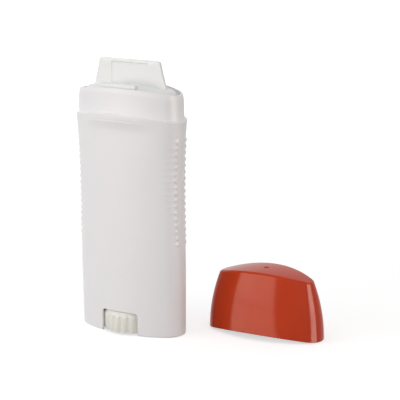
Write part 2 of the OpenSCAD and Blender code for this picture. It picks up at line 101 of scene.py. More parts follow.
# Camera, as fitted to the photograph, and the white paper below the object
CAMERA_PLACE, CAMERA_HEADING = (407.4, -603.5, 239.0), (-0.520, 0.854, 0)
CAMERA_PITCH, CAMERA_ROLL, CAMERA_LENS, CAMERA_SENSOR = 13.34, -0.36, 133.2, 36
PAPER_R, PAPER_PLACE = 4000.0, (30, 0, -0.05)
GLOW_NEAR_R, GLOW_FAR_R, GLOW_NEAR, GLOW_FAR = 150.0, 900.0, 0.6, 1.0
WORLD_FILL = 0.54

# Sizes of the patterns in the moulded plastic, how far light spreads in it, and its IOR
FLOW_SIZE, GRAIN_SIZE, WAVE_SIZE, BLEED_SIZE, PLASTIC_IOR = 15.0, 0.35, 7.0, 0.8, 1.49


# Camera, floor and light

def make_camera():
    """Stands where the photograph was taken from: 13 degrees down, from the front and the right."""
    bpy.ops.object.camera_add(location=Vector(CAMERA_PLACE) * MM)
    camera = bpy.context.object
    pitch, heading = math.radians(CAMERA_PITCH), Vector(CAMERA_HEADING).normalized()
    gaze = heading * math.cos(pitch) - Vector((0, 0, math.sin(pitch)))
    camera.rotation_euler = gaze.to_track_quat("-Z", "Y").to_euler()
    camera.rotation_euler.rotate_axis("Z", math.radians(CAMERA_ROLL))
    camera.data.sensor_width, camera.data.lens = CAMERA_SENSOR, CAMERA_LENS
    bpy.context.scene.camera = camera


def linear(hex_colour):
    """An sRGB hex colour as linear RGBA."""
    parts = [int(hex_colour[i:i + 2], 16) / 255 for i in (1, 3, 5)]
    return [p / 12.92 if p <= 0.04045 else ((p + 0.055) / 1.055) ** 2.4 for p in parts] + [1]


def add(tree, kind, inputs=None, **settings):
    """Adds a node with its settings. inputs gives each socket a value or another node's output."""
    made = tree.nodes.new(kind)
    for name, value in settings.items():
        setattr(made, name, value)
    for socket, value in (inputs or {}).items():
        if isinstance(value, bpy.types.NodeSocket):
            tree.links.new(value, made.inputs[socket])
        else:
            made.inputs[socket].default_value = value
    return made


def seen_directly(tree):
    """1 for camera, mirror and see-through rays, which show white surroundings, 0 for others."""
    path = add(tree, "ShaderNodeLightPath").outputs
    first = add(tree, "ShaderNodeMath", {0: path["Is Camera Ray"], 1: path["Is Glossy Ray"]},
                operation="MAXIMUM")
    return add(tree, "ShaderNodeMath", {0: first.outputs[0], 1: path["Is Transmission Ray"]},
               operation="MAXIMUM").outputs[0]


def make_world(fill):
    """White surroundings that light the object at the strength fill."""
    world = bpy.data.worlds.new("white_surroundings")
    bpy.context.scene.world = world
    world.use_nodes = True
    tree = world.node_tree
    tree.nodes.clear()
    strength = add(tree, "ShaderNodeMapRange",
                   {"Value": seen_directly(tree), "To Min": fill, "To Max": 1})
    light = add(tree, "ShaderNodeBackground", {"Color": linear("#FFFFFF"),
                                               "Strength": strength.outputs[0]})
    add(tree, "ShaderNodeOutputWorld", {"Surface": light.outputs[0]})


def make_lamp(name, place, target, width, height, power, colour="#FFFFFF", diffuse=True,
              glossy=True):
    """A soft box at a place, turned to a target. It may only light, or only be reflected."""
    bpy.ops.object.light_add(type="AREA", location=Vector(place) * MM)
    lamp = bpy.context.object
    lamp.name = name
    aim = Vector(target) - Vector(place)
    lamp.rotation_euler = aim.to_track_quat("-Z", "Y").to_euler()
    lamp.data.shape, lamp.data.size, lamp.data.size_y = "RECTANGLE", width * MM, height * MM
    lamp.data.energy, lamp.data.color = power, linear(colour)[:3]
    lamp.visible_diffuse, lamp.visible_glossy = diffuse, glossy


def make_floor():
    """White paper below the object. It takes the object's soft shadow and is white far off."""
    bpy.ops.mesh.primitive_circle_add(vertices=96, radius=PAPER_R * MM, fill_type="NGON",
                                      location=Vector(PAPER_PLACE) * MM)
    floor = bpy.context.object
    floor.name = "paper_floor"
    material = bpy.data.materials.new("White studio paper")
    material.use_nodes = True
    tree = material.node_tree
    tree.nodes.clear()
    place = add(tree, "ShaderNodeTexCoord").outputs["Object"]
    distance = add(tree, "ShaderNodeVectorMath", {0: place}, operation="LENGTH")
    level = add(tree, "ShaderNodeMapRange",
                {"Value": distance.outputs["Value"], "From Min": GLOW_NEAR_R * MM,
                 "From Max": GLOW_FAR_R * MM, "To Min": GLOW_NEAR, "To Max": GLOW_FAR},
                interpolation_type="SMOOTHSTEP")
    glow = add(tree, "ShaderNodeMath", {0: seen_directly(tree), 1: level.outputs[0]},
               operation="MULTIPLY")
    paper = add(tree, "ShaderNodeBsdfDiffuse", {"Color": linear("#C4C4C4")})
    light = add(tree, "ShaderNodeEmission",
                {"Color": linear("#FFFFFF"), "Strength": glow.outputs[0]})
    both = add(tree, "ShaderNodeAddShader", {0: paper.outputs[0], 1: light.outputs[0]})
    # Mirror rays from the glossy cap meet a polished table, which mirrors the white surroundings
    table = add(tree, "ShaderNodeBsdfAnisotropic", {"Color": linear("#FFFFFF"), "Roughness": 0.1})
    mirrored = add(tree, "ShaderNodeLightPath").outputs["Is Glossy Ray"]
    either = add(tree, "ShaderNodeMixShader",
                 {0: mirrored, 1: both.outputs[0], 2: table.outputs[0]})
    add(tree, "ShaderNodeOutputMaterial", {"Surface": either.outputs[0]})
    floor.data.materials.append(material)


make_camera()
make_world(WORLD_FILL)
make_floor()
# Where each lamp stands, what it is turned to, its width, height and power
make_lamp("soft_box_left", (-690, -700, 190), (40, 10, 60), 780, 640, 5.0, glossy=False)
make_lamp("sheen_left", (-350, -898, 330), (63, 11, 30), 1050, 670, 11.0, "#FFF2E0", diffuse=False)
make_lamp("soft_box_above", (0, -60, 620), (0, 0, 120), 500, 400, 0.6, glossy=False)
make_lamp("fill_right", (700, -420, 160), (40, 0, 60), 600, 500, 1.5, "#FFF4EA", glossy=False)
make_lamp("streak_right", (770, -30, 260), (80, 10, 30), 460, 540, 10.0, "#FFF4EA", diffuse=False)


# Shapes

def soft_step(share):
    """A step from 0 to 1 with smooth ends."""
    share = min(1.0, max(0.0, share))
    return share * share * (3 - 2 * share)


def soft_max(first, second, blend):
    """The larger of two numbers, with a round transition as wide as blend."""
    gap = blend - abs(first - second)
    return max(first, second) + (gap * gap / (4 * blend) if gap > 0 else 0)


def stops(face_shares, end_shares):
    """Where an oval's columns stand, anticlockwise: which of its four arcs, and the share of it."""
    return [(arc, share) for arc in range(4) for share in (end_shares if arc % 2 else face_shares)]


def even(count):
    """Even shares of an arc, from its start up to the column before its end."""
    return [-1 + 2 * i / count for i in range(count)]


PLAIN = stops(even(44), even(28))  # columns of an oval without a pattern


def oval(a, b, r, columns=PLAIN):
    """Points (x, y) and outward directions of a four-arc oval of half width a and half depth b,
    with ends of radius r."""
    c = ((a - r) ** 2 - (b - r) ** 2) / (2 * (b - r))
    half = math.atan2(a - r, c)
    found = []
    for arc, share in columns:
        side = 1 if arc < 2 else -1
        if arc % 2 == 0:
            s = half * share
            found.append((side * (b + c) * math.sin(s), side * (c - (b + c) * math.cos(s)),
                          side * math.sin(s), -side * math.cos(s)))
        else:
            s = (math.pi / 2 - half) * share
            found.append((side * (a - r + r * math.cos(s)), side * r * math.sin(s),
                          side * math.cos(s), side * math.sin(s)))
    return found


def oval_y(x, a, b, r):
    """Half depth of the oval's flat arc at x."""
    c = ((a - r) ** 2 - (b - r) ** 2) / (2 * (b - r))
    return math.sqrt((b + c) ** 2 - x * x) - c


def ring(z, a, b, r, arch=0.0, columns=PLAIN):
    """An oval ring whose height rises by arch from its ends to its middle."""
    return [(x, y, z + arch * (1 - (x / a) ** 2)) for x, y, _, _ in oval(a, b, r, columns)]


def inner_ring(s, z, a, b, r, arch=0.0, crown=0.0, columns=PLAIN):
    """The same surface at the share s of its outline, for a flat or domed face."""
    return ring(z + (arch + crown) * (1 - s * s), a * s, b * s, r * s, arch * s * s, columns)


def round_ring(radius, z, columns):
    """A circle of points about the upright axis."""
    return [(radius * math.cos(t), radius * math.sin(t), z)
            for t in (2 * math.pi * i / columns for i in range(columns))]


def loft(name, rings, fan=True):
    """A closed skin over a chain of rings: a grid is wrapped round into a tube, and its ends are
    filled. fan fills an end from its middle, and without it a hollowed outline is filled corner by
    corner."""
    columns, rows = len(rings[0]), len(rings) - 1
    bpy.ops.object.select_all(action="DESELECT")
    bpy.ops.mesh.primitive_grid_add(x_subdivisions=columns, y_subdivisions=rows, size=2)
    piece = bpy.context.object
    piece.name = piece.data.name = name
    for vertex in piece.data.vertices:
        column = round((vertex.co.x + 1) / 2 * columns) % columns
        row = round((vertex.co.y + 1) / 2 * rows)
        vertex.co = Vector(rings[row][column]) * MM
    bpy.ops.object.mode_set(mode="EDIT")
    bpy.ops.mesh.select_mode(type="EDGE")
    bpy.ops.mesh.select_all(action="SELECT")
    bpy.ops.mesh.remove_doubles(threshold=1e-8)
    bpy.ops.mesh.select_all(action="DESELECT")
    bpy.ops.mesh.select_non_manifold()
    bpy.ops.mesh.fill_holes(sides=0)
    if fan:
        bpy.ops.mesh.poke()
    else:
        bpy.ops.mesh.quads_convert_to_tris(ngon_method="CLIP")
    bpy.ops.object.mode_set(mode="OBJECT")
    return piece


def block(name, low, high):
    """A box between two corners."""
    bpy.ops.object.select_all(action="DESELECT")
    centre, size = (Vector(low) + Vector(high)) / 2, Vector(high) - Vector(low)
    bpy.ops.mesh.primitive_cube_add(size=1, location=centre * MM, scale=size * MM)
    bpy.context.object.name = name
    bpy.ops.object.transform_apply()
    return bpy.context.object


def rod(name, radius, low, high, vertices):
    """A cylinder about the upright axis."""
    bpy.ops.object.select_all(action="DESELECT")
    bpy.ops.mesh.primitive_cylinder_add(vertices=vertices, radius=radius * MM,
                                        depth=(high - low) * MM,
                                        location=(0, 0, (low + high) / 2 * MM))
    bpy.context.object.name = name
    bpy.ops.object.transform_apply()
    return bpy.context.object


def turned(piece, degrees):
    """Turns a piece about the upright axis."""
    piece.rotation_euler.z = math.radians(degrees)
    bpy.ops.object.select_all(action="DESELECT")
    piece.select_set(True)
    bpy.context.view_layer.objects.active = piece
    bpy.ops.object.transform_apply()
    return piece


def combine(piece, tools, operation):
    """Fuses the tools with the piece, or cuts them out of it, and removes them."""
    bpy.ops.object.select_all(action="DESELECT")
    bpy.context.view_layer.objects.active = piece
    for tool in tools:
        modifier = piece.modifiers.new("fuse_or_cut", "BOOLEAN")
        modifier.operation, modifier.solver, modifier.object = operation, "MANIFOLD", tool
        bpy.ops.object.modifier_apply(modifier=modifier.name)
        bpy.data.objects.remove(tool)
    return piece


def fuse(piece, *tools):
    return combine(piece, tools, "UNION")


def cut(piece, *tools):
    return combine(piece, tools, "DIFFERENCE")


def smooth_shaded(piece, degrees=32):
    bpy.ops.object.select_all(action="DESELECT")
    piece.select_set(True)
    bpy.context.view_layer.objects.active = piece
    bpy.ops.object.shade_smooth_by_angle(angle=math.radians(degrees))
    return piece


# Barrel

def swell(z):
    """Change of the barrel's half width from the base to the belly, the waist and the shoulder."""
    if z < BELLY_Z:
        return BELLY_SWELL / 2 * soft_step(z / BELLY_Z)
    if z < WAIST_Z:
        return BELLY_SWELL / 2 - (BELLY_SWELL + WAIST_INSET) / 2 * soft_step(
            (z - BELLY_Z) / (WAIST_Z - BELLY_Z))
    return -WAIST_INSET / 2 + (SHOULDER_FLARE + WAIST_INSET) / 2 * (
        (z - WAIST_Z) / (SHOULDER_Z - WAIST_Z)) ** FLARE_POWER


def panel_cut(x, z):
    """Depth of the label panel. It stays upright where the face flares, and ends below a rim."""
    middle = max(0.0, 1 - (x / (PANEL_W / 2 + PANEL_SPLAY * (PANEL_TOP_Z - z))) ** 2)
    fade = soft_step((z - PANEL_LOW_Z) / (PANEL_TOP_Z - PANEL_LOW_Z))
    flare = (swell(z) + WAIST_INSET / 2) / 2 if z > WAIST_Z else 0.0
    t = min(1.0, max(0.0, PANEL_TOP_Z - z) / PANEL_SCOOP_H)
    scoop = 1 - (1 - t) ** 3 * (1 + 3 * t)
    rim = max(0.0, 1 - ((z - PANEL_TOP_Z) / PANEL_RIM_W) ** 2) ** 2
    return middle * ((PANEL_DEPTH * fade + flare) * scoop - PANEL_RIM_H * rim)


def grip_height(angle, z, radius, sag=0.0):
    """Height of the beads and ribs over the wall, at an angle from the middle of the end. sag is
    how far the flatter face lies outside the end's circle there."""
    row = (BEAD_TOP_Z - z) / BEAD_PITCH
    i = min(max(round(row), 0), BEADS - 1)
    u, along = i / (BEADS - 1), (row - i) * BEAD_PITCH
    bowed = BEAD_ANGLE + BEAD_BOW * math.sin(math.pi * u)
    ball = END_BEAD_R if i in (0, BEADS - 1) else BEAD_R
    inside = ball ** 2 - along ** 2 - (math.radians(angle - bowed) * radius) ** 2
    height = math.sqrt(max(0.0, inside)) - (ball - BEAD_RELIEF)
    if 1 <= i < math.floor(RIB_ROWS * (BEADS - 1)):
        start = bowed + RIB_START
        stop = start + RIB_REACH * math.sin(math.pi * (u / RIB_ROWS) ** RIB_SKEW)
        past = math.radians(max(0.0, start - angle, angle - stop)) * radius
        inside = RIB_R ** 2 - along ** 2 - past ** 2
        height = max(height, math.sqrt(max(0.0, inside)) - (RIB_R - RIB_RELIEF) - sag)
    return soft_max(height, 0.0, GRIP_BLEND) if height > -GRIP_BLEND else 0.0


# Columns of the barrel: in degrees from the middle of an end, closest at the beads, and as shares
# of a face, closest at the ribs
END_SPAN = 63.0
GRIP_DEGREES = ([0, 4, 8, 11.5, 14] + [15.5 + 1.2 * i for i in range(16)]
                + [35.5 + 2.6 * i for i in range(11)])
GRIP_SHARES = sorted({side * d / END_SPAN for d in GRIP_DEGREES for side in (-1, 1)} | {-1.0})
FACE_SHARES = sorted({-1.0, 0.0} | {side * s for side in (-1, 1) for s in
                     [0.98, 0.96, 0.94, 0.92, 0.9, 0.88, 0.86, 0.84, 0.81, 0.77, 0.72]
                     + [0.05 * i for i in range(1, 14)]})
GRIP_COLUMNS = stops(FACE_SHARES, GRIP_SHARES)


def wall_ring(z, inset=0.0):
    """A ring of the barrel's outer wall, with the label panel and the grip."""
    rise = max(0.0, z - WAIST_Z) / (SHOULDER_Z - WAIST_Z)
    a, b = BASE_A + swell(z) - inset, BASE_B + swell(z) / 2 - inset
    r = END_R + (SHOULDER_R - END_R) * rise - inset
    c = ((a - r) ** 2 - (b - r) ** 2) / (2 * (b - r))
    half = math.atan2(a - r, c)
    end_degrees = 90 - math.degrees(half)
    points = []
    for (arc, share), (x, y, out_x, out_y) in zip(GRIP_COLUMNS, oval(a, b, r, GRIP_COLUMNS)):
        height = z + SHOULDER_ARCH * rise * (1 - (x / a) ** 2)
        past, sag = 0.0, 0.0
        if arc % 2 == 0:
            past = (b + c) * half * (1 - abs(share))
            sag = past ** 2 / 2 * (1 / r - 1 / (b + c))
            angle = end_degrees + math.degrees(past / r)
        else:
            angle = end_degrees * abs(share)
        proud = grip_height(angle, height, r, sag) if past < 4 else 0.0
        dent = math.copysign(panel_cut(x, z), y)
        points.append((x + out_x * proud, y + out_y * proud - dent, height))
    return points


def wall_heights():
    """Heights of the outer wall's rings, closest together where the grip is."""
    step = BEAD_PITCH / RINGS_PER_BEAD
    low_rows, high_rows, rim_rows, above = 24, 14, 12, (1.2, 1.9)
    grip_low = BEAD_TOP_Z - (BEADS - 1) * BEAD_PITCH - GRIP_MARGIN
    grip_high = BEAD_TOP_Z + GRIP_MARGIN
    rim_low = PANEL_TOP_Z - PANEL_RIM_W
    low = [FOOT_ROUND + (grip_low - FOOT_ROUND) * i / low_rows for i in range(1, low_rows)]
    middle = [grip_low + step * i for i in range(int((grip_high - grip_low) / step) + 1)]
    high = [grip_high + (rim_low - grip_high) * i / high_rows for i in range(1, high_rows)]
    rim = [rim_low + 2 * PANEL_RIM_W * i / rim_rows for i in range(rim_rows + 1)]
    return low + middle + high + rim + [PANEL_TOP_Z + up for up in above]


def window_outline(grow):
    """The window as (x, z), from the lower right over the top to the lower left."""
    half, corner, low, rows = WINDOW_W / 2, WINDOW_R, -3.0, 4
    arc = [math.pi / 2 * i / 8 for i in range(9)]
    left = [(-(half - corner) - (corner + grow) * math.cos(t),
             WINDOW_H - corner + (corner + grow) * math.sin(t)) for t in arc]
    top = [((half - corner) * (i / 6 - 1), WINDOW_H + grow) for i in range(1, 12)]
    right = [(-x, z) for x, z in reversed(left)]
    side = [(-half - grow, low + (WINDOW_H - corner - low) * i / rows) for i in range(rows)]
    return list(reversed(side + left + top + right + [(-x, z) for x, z in reversed(side)]))


def window_cutter(side):
    """Cuts one window, with a small bevel round its outer edge. Each step gives how much the
    outline grows, and how far outside the face it lies."""
    steps = [(0.0, -12.0), (0.0, -WINDOW_BREAK), (WINDOW_BREAK, 0.05), (WINDOW_BREAK, 4.0)]
    return loft("window_cutter", [
        [(side * x, -side * (oval_y(x, BASE_A, BASE_B, END_R) + out), z)
         for x, z in window_outline(grow)] for grow, out in steps])


def make_barrel():
    chamber = (CHAMBER_A, CHAMBER_B, CHAMBER_R)
    foot = [math.radians(15 * i) for i in range(7)]
    edge = [math.radians(30 * i) for i in range(4)]
    under_floor = FLOOR_Z - FLOOR_T

    def inner(z, grow=0.0, arch=0.0):
        return ring(z, CHAMBER_A + grow, CHAMBER_B + grow, CHAMBER_R + grow, arch, GRIP_COLUMNS)

    def neck(z, a, b, r):
        return ring(z, a, b, r, RIM_ARCH, GRIP_COLUMNS)

    rings = [inner_ring(EYE, under_floor, *chamber, columns=GRIP_COLUMNS),
             inner(under_floor), inner(SOFT), inner(0.0, SOFT)]
    rings += [wall_ring(FOOT_ROUND * (1 - math.cos(t)), FOOT_ROUND * (1 - math.sin(t)))
              for t in foot]
    rings += [wall_ring(z) for z in wall_heights()]
    rings += [wall_ring(SHOULDER_Z - LEDGE_ROUND * (1 - math.sin(t)),
                        LEDGE_ROUND * (1 - math.cos(t))) for t in edge]
    # The fillet between ledge and neck: height above the ledge, and distance from the neck
    fillet = ((0, LEDGE_FILLET), (0.07, 0.07), (LEDGE_FILLET, 0))
    rings += [ring(SHOULDER_Z + up, NECK_A + out, NECK_B + out, NECK_R + out, SHOULDER_ARCH,
                   GRIP_COLUMNS) for up, out in fillet]
    # The soft start of the lead-in: height above its low end, inset, and loss of the end's radius
    lead_in = ((-0.5, 0, 0), (0, 0.03, 0), (0.6, 0.16, 0.12))
    rings += [neck(NECK_TOP_Z - LEAD_IN_H + up, NECK_A - NECK_DRAFT - d, NECK_B - NECK_DRAFT - d,
                   NECK_R - less) for up, d, less in lead_in]
    # The rim's rounded outer edge: depth below the rim, inset, and loss of the end's radius
    lip = ((0.3, -0.06, -0.06), (0.15, 0, 0), (0.04, 0.1, 0), (0, 0.24, 0.2))
    rings += [neck(NECK_TOP_Z - down, RIM_A - d, RIM_B - d, RIM_R - less) for down, d, less in lip]
    # The rim's inner edge, the chamber and its floor's edge
    rings += [inner(NECK_TOP_Z, SOFT, RIM_ARCH), inner(NECK_TOP_Z - 0.06, 0.05, RIM_ARCH),
              inner(NECK_TOP_Z - SOFT, 0.0, RIM_ARCH), inner(FLOOR_Z + 0.3), inner(FLOOR_Z, -0.3),
              inner_ring(EYE, FLOOR_Z, *chamber, columns=GRIP_COLUMNS)]
    barrel = loft("barrel_moulding", rings)
    half, into_floor, into_wall = CROSS_WALL_T / 2, 0.4, 0.5
    deep = oval_y(CROSS_WALL_X, *chamber) + into_wall
    fuse(barrel, *[block("cross_wall", (side * CROSS_WALL_X - half, -deep, CROSS_WALL_Z),
                         (side * CROSS_WALL_X + half, deep, under_floor + into_floor))
                   for side in (-1, 1)])
    cut(barrel, window_cutter(1), window_cutter(-1),
        rod("well_cutter", WELL_R, -2 * CUT_PAST, under_floor - 0.02, 160),
        rod("bore_cutter", BORE_R, under_floor - CUT_PAST, FLOOR_Z + CUT_PAST, 96))
    return smooth_shaded(barrel)


# Dial and lead screw

def flute_radius(angle, limit):
    """Radius of the dial's rim at an angle in degrees: the limit, or less where a flute is cut."""
    pitch = 360 / FLUTES
    off = math.radians(angle % pitch - pitch / 2)
    centre = DIAL_R - FLUTE_DEPTH + FLUTE_R
    inside = FLUTE_R ** 2 - (centre * math.sin(off)) ** 2
    if inside <= 0:
        return limit
    return -soft_max(-limit, math.sqrt(inside) - centre * math.cos(off), FLUTE_BLEND)


def threaded_rod(name, radius, low, high):
    """A right-hand thread. Its crest and flank are shares of the lead. It runs in at its lower end
    and has a tapered tip."""
    rows = round((high - low) / SCREW_LEAD * RINGS_PER_TURN)
    rings = []
    for k in range(rows + 1):
        z = low + (high - low) * k / rows
        deep = THREAD_DEPTH * soft_step((z - low - THREAD_START) / THREAD_RUN_IN)
        top = min(radius, radius - THREAD_TIP + (high - z))
        points = []
        for i in range(THREAD_COLUMNS):
            turn = i / THREAD_COLUMNS
            off = abs((z / SCREW_LEAD - turn) % 1 - 0.5)
            groove = soft_step((0.5 - THREAD_CREST / 2 - off) / THREAD_FLANK)
            r, angle = min(top, radius - deep * groove), 2 * math.pi * turn
            points.append((r * math.cos(angle), r * math.sin(angle), z))
        rings.append(points)
    return loft(name, rings)


def make_dial_screw():
    count = FLUTES * FLUTE_COLUMNS

    def fluted(limit, z):
        radii = [flute_radius(360 * i / count, limit) for i in range(count)]
        return [(r * math.cos(2 * math.pi * i / count), r * math.sin(2 * math.pi * i / count), z)
                for i, r in enumerate(radii)]

    boss, inner, root = JOURNAL_R + DIAL_WALL, DIAL_R - FLUTE_DEPTH - DIAL_WALL, 0.5
    under_top, boss_z, collar_top = DIAL_TOP_Z - DIAL_WALL, DIAL_Z + DIAL_WALL, COLLAR_Z + COLLAR_H
    slope = (DIAL_R - DIAL_TOP_R) / (DIAL_TOP_Z - DIAL_BAND_Z)
    # Radius and height of each ring: the hollow underside, the fluted band, then top and collar
    under = [(CORE_R, boss_z), (boss - SOFT, boss_z), (boss, boss_z + SOFT), (boss, under_top),
             (DIAL_TOP_R - DIAL_WALL, under_top), (inner, DIAL_BAND_Z - DIAL_WALL),
             (inner, DIAL_Z + SOFT), (inner + SOFT, DIAL_Z)]
    band = [(DIAL_R - inset, DIAL_Z + up)
            for inset, up in ((0.35, 0), (0.18, 0.05), (0.05, 0.18), (0, 0.35))]
    band += [(DIAL_R, DIAL_BAND_Z - SOFT), (DIAL_R - 0.04, DIAL_BAND_Z)]
    band += [(DIAL_R - slope * up, DIAL_BAND_Z + up) for up in (0.12, 0.24, 0.36, 0.48, 0.6)]
    over = [(DIAL_TOP_R + 0.25, DIAL_TOP_Z - 0.23), (DIAL_TOP_R + 0.05, DIAL_TOP_Z - 0.07),
            (DIAL_TOP_R - 0.25, DIAL_TOP_Z), (JOURNAL_R, DIAL_TOP_Z), (JOURNAL_R, COLLAR_Z),
            (COLLAR_R - 0.1, COLLAR_Z), (COLLAR_R, COLLAR_Z + 0.1),
            (COLLAR_R, COLLAR_Z + COLLAR_H / 2), (SCREW_R - 0.1, collar_top), (CORE_R, collar_top)]
    dial = loft("dial_and_screw", [round_ring(r, z, count) for r, z in under]
                + [fluted(r, z) for r, z in band] + [round_ring(r, z, count) for r, z in over])
    spokes = [turned(block("spoke", (JOURNAL_R, -DIAL_WALL / 2, SPOKE_Z),
                           (inner + root, DIAL_WALL / 2, SPOKE_Z + SPOKE_H)), 360 * k / SPOKES)
              for k in range(SPOKES)]
    fuse(dial, *spokes, threaded_rod("lead_screw", SCREW_R, COLLAR_Z + root, SCREW_TOP_Z))
    return smooth_shaded(dial)


# Elevator

def make_elevator():
    def wall(z, inset):
        return ring(z, LIFT_A - inset, LIFT_B - inset, LIFT_R - inset)

    skirt_top, plate_top, hub_top = LIFT_Z + SKIRT_H, PLATE_Z + LIFT_T, HUB_Z + HUB_H
    # Height and inset of each ring, from under the plate round the skirt to the plate's top
    steps = [(PLATE_Z, LIFT_T + 0.3), (PLATE_Z - 0.3, LIFT_T), (LIFT_Z + SOFT, LIFT_T),
             (LIFT_Z, LIFT_T - SOFT), (LIFT_Z, SOFT), (LIFT_Z + SOFT, 0), (skirt_top - 0.3, 0),
             (skirt_top - 0.08, 0.08), (skirt_top, 0.3), (skirt_top, LIFT_T - 0.3),
             (skirt_top - 0.08, LIFT_T - 0.08), (skirt_top - 0.3, LIFT_T),
             (plate_top + 0.4, LIFT_T), (plate_top, LIFT_T + 0.4)]
    outline = (LIFT_A - LIFT_T, LIFT_B - LIFT_T, LIFT_R - LIFT_T)
    elevator = loft("elevator_plate", [
        inner_ring(EYE, PLATE_Z, *outline), *[wall(z, inset) for z, inset in steps],
        inner_ring(EYE, plate_top, *outline)])
    hub = [(CORE_R, HUB_Z), (HUB_R - SOFT, HUB_Z), (HUB_R, HUB_Z + SOFT),
           (HUB_R, hub_top - HUB_ROUND), (HUB_R - 0.12, hub_top - 0.12),
           (HUB_R - HUB_ROUND, hub_top), (CORE_R, hub_top)]
    fin_z = plate_top - FIN_ROOT
    fins = [turned(block("fin", (0, -LIFT_T / 2, fin_z), (FIN_LEN, LIFT_T / 2, fin_z + FIN_H)),
                   360 * (k + 0.5) / FINS) for k in range(FINS)]
    fuse(elevator, loft("hub", [round_ring(r, z, 96) for r, z in hub]), *fins)
    cut(elevator, rod("nut_cutter", NUT_R, HUB_Z - CUT_PAST, hub_top + CUT_PAST, 96))
    return smooth_shaded(elevator)


# Seal

def dome_height(x):
    """Height of the dome's middle line at x."""
    return DOME_Z + (DOME_ARCH + DOME_CROWN) * (1 - (x / (SEAL_A - DOME_INSET)) ** 2)


def seal_ring(share, drop, inset):
    """A ring of the dome's sloping edge: share 0 is the edge, 1 the shoulder of the dome."""
    rise = math.sin(math.pi / 2 * share)
    d = inset + (DOME_INSET - inset) * share
    return ring(SEAL_EDGE_Z + (DOME_Z - SEAL_EDGE_Z) * rise - drop,
                SEAL_A - d, SEAL_B - d, SEAL_R - d, RIM_ARCH + (DOME_ARCH - RIM_ARCH) * rise)


def crown_ring(s, drop):
    """A ring of the dome's crown at the share s of its outline."""
    return inner_ring(s, DOME_Z - drop, SEAL_A - DOME_INSET, SEAL_B - DOME_INSET,
                      SEAL_R - DOME_INSET, DOME_ARCH, DOME_CROWN)


def shrunk(outline, distance):
    """An outline of (x, z) points moved inwards by a distance. It runs clockwise from the front."""
    moved = []
    for i, (x, z) in enumerate(outline):
        (x0, z0), (x1, z1) = outline[i - 1], outline[(i + 1) % len(outline)]
        length = math.hypot(x1 - x0, z1 - z0)
        moved.append((x + distance * (z1 - z0) / length, z - distance * (x1 - x0) / length))
    return moved


def tab_outline():
    """The pull tab as (x, z): a trapezoid with round upper corners, rooted in the dome."""
    half, foot, r = TAB_TOP_W / 2, TAB_FOOT_W / 2, TAB_R
    k = (foot - half) / (TAB_TOP_Z - dome_height(foot))
    centre = half + k * r - r * math.sqrt(1 + k * k)
    turn = math.pi / 2 - math.atan(k)
    arc = [math.pi / 2 - turn * i / 8 for i in range(9)]
    right = [(centre * i / 6, TAB_TOP_Z) for i in range(1, 6)]
    right += [(centre + r * math.cos(t), TAB_TOP_Z - r + r * math.sin(t)) for t in arc]
    low = dome_height(foot) - SEAL_T / 2
    height = TAB_TOP_Z - r - low
    right += [(foot - k * height * (1 - i / 5), low + height * (1 - i / 5)) for i in range(1, 5)]
    right += [(foot * i / 12, dome_height(foot * i / 12) - SEAL_T / 2) for i in range(12, 0, -1)]
    left = [(-x, z) for x, z in reversed(right)]
    return right + [(0, dome_height(0) - SEAL_T / 2)] + left + [(0, TAB_TOP_Z)]


def make_tab():
    """The pull tab: a flat plate with round edges and a sunk thumb panel on each side."""
    outline, half = tab_outline(), TAB_T / 2
    stations = [(-half, TAB_ROUND)] + [
        (-half + TAB_ROUND * (1 - math.cos(t)), TAB_ROUND * (1 - math.sin(t)))
        for t in (math.pi / 6, math.pi / 3, math.pi / 2)]
    stations += [(-y, d) for y, d in reversed(stations)]
    tab = loft("pull_tab", [[(x, y, z) for x, z in shrunk(outline, d)] for y, d in stations])
    low, high, side = dome_height(0) - SEAL_T / 2, TAB_TOP_Z - TAB_FRAME, THUMB_W / 2
    thumb = [(-side, high), (side, high), (side, low), (-side, low)]
    back = [(half - THUMB_DEPTH, 0), (half, -THUMB_SLOPE), (half + CUT_PAST, -THUMB_SLOPE)]
    front = [(-y, d) for y, d in reversed(back)]
    return cut(tab, *[
        loft("thumb_cutter", [[(x, y, z) for x, z in shrunk(thumb, d)] for y, d in steps])
        for steps in (back, front)])


def lip_section(x, side):
    """The lip's cross-section at x: it reaches over the rim and steps down inside the mouth."""
    y_rim = oval_y(x, RIM_A, RIM_B, RIM_R)
    y_in = oval_y(x, SEAL_A, SEAL_B, SEAL_R) - LIP_INSET
    rise = RIM_ARCH * (1 - (x / RIM_A) ** 2)
    under, top, low = LIP_LOW_Z + rise, LIP_LOW_Z + LIP_T + rise, SEAL_EDGE_Z - SEAL_T + rise
    arc = [math.pi / 2 * i / 4 for i in range(5)]
    outer = [(y_rim - LIP_ROUND * (1 - math.cos(t)), top - LIP_ROUND * (1 - math.sin(t)))
             for t in arc]
    section = ([(LIP_INNER_Y, low), (y_in, low), (y_in, under), (y_rim, under)] + outer
               + [(LIP_INNER_Y, top)])
    return [(side * x, -side * y, z) for y, z in reversed(section)]


def make_lip(side):
    """The front lip for side 1, and the back one for side -1."""
    return loft("lip", [lip_section(LIP_W / 2 * (i / 10 - 1), side) for i in range(21)], fan=False)


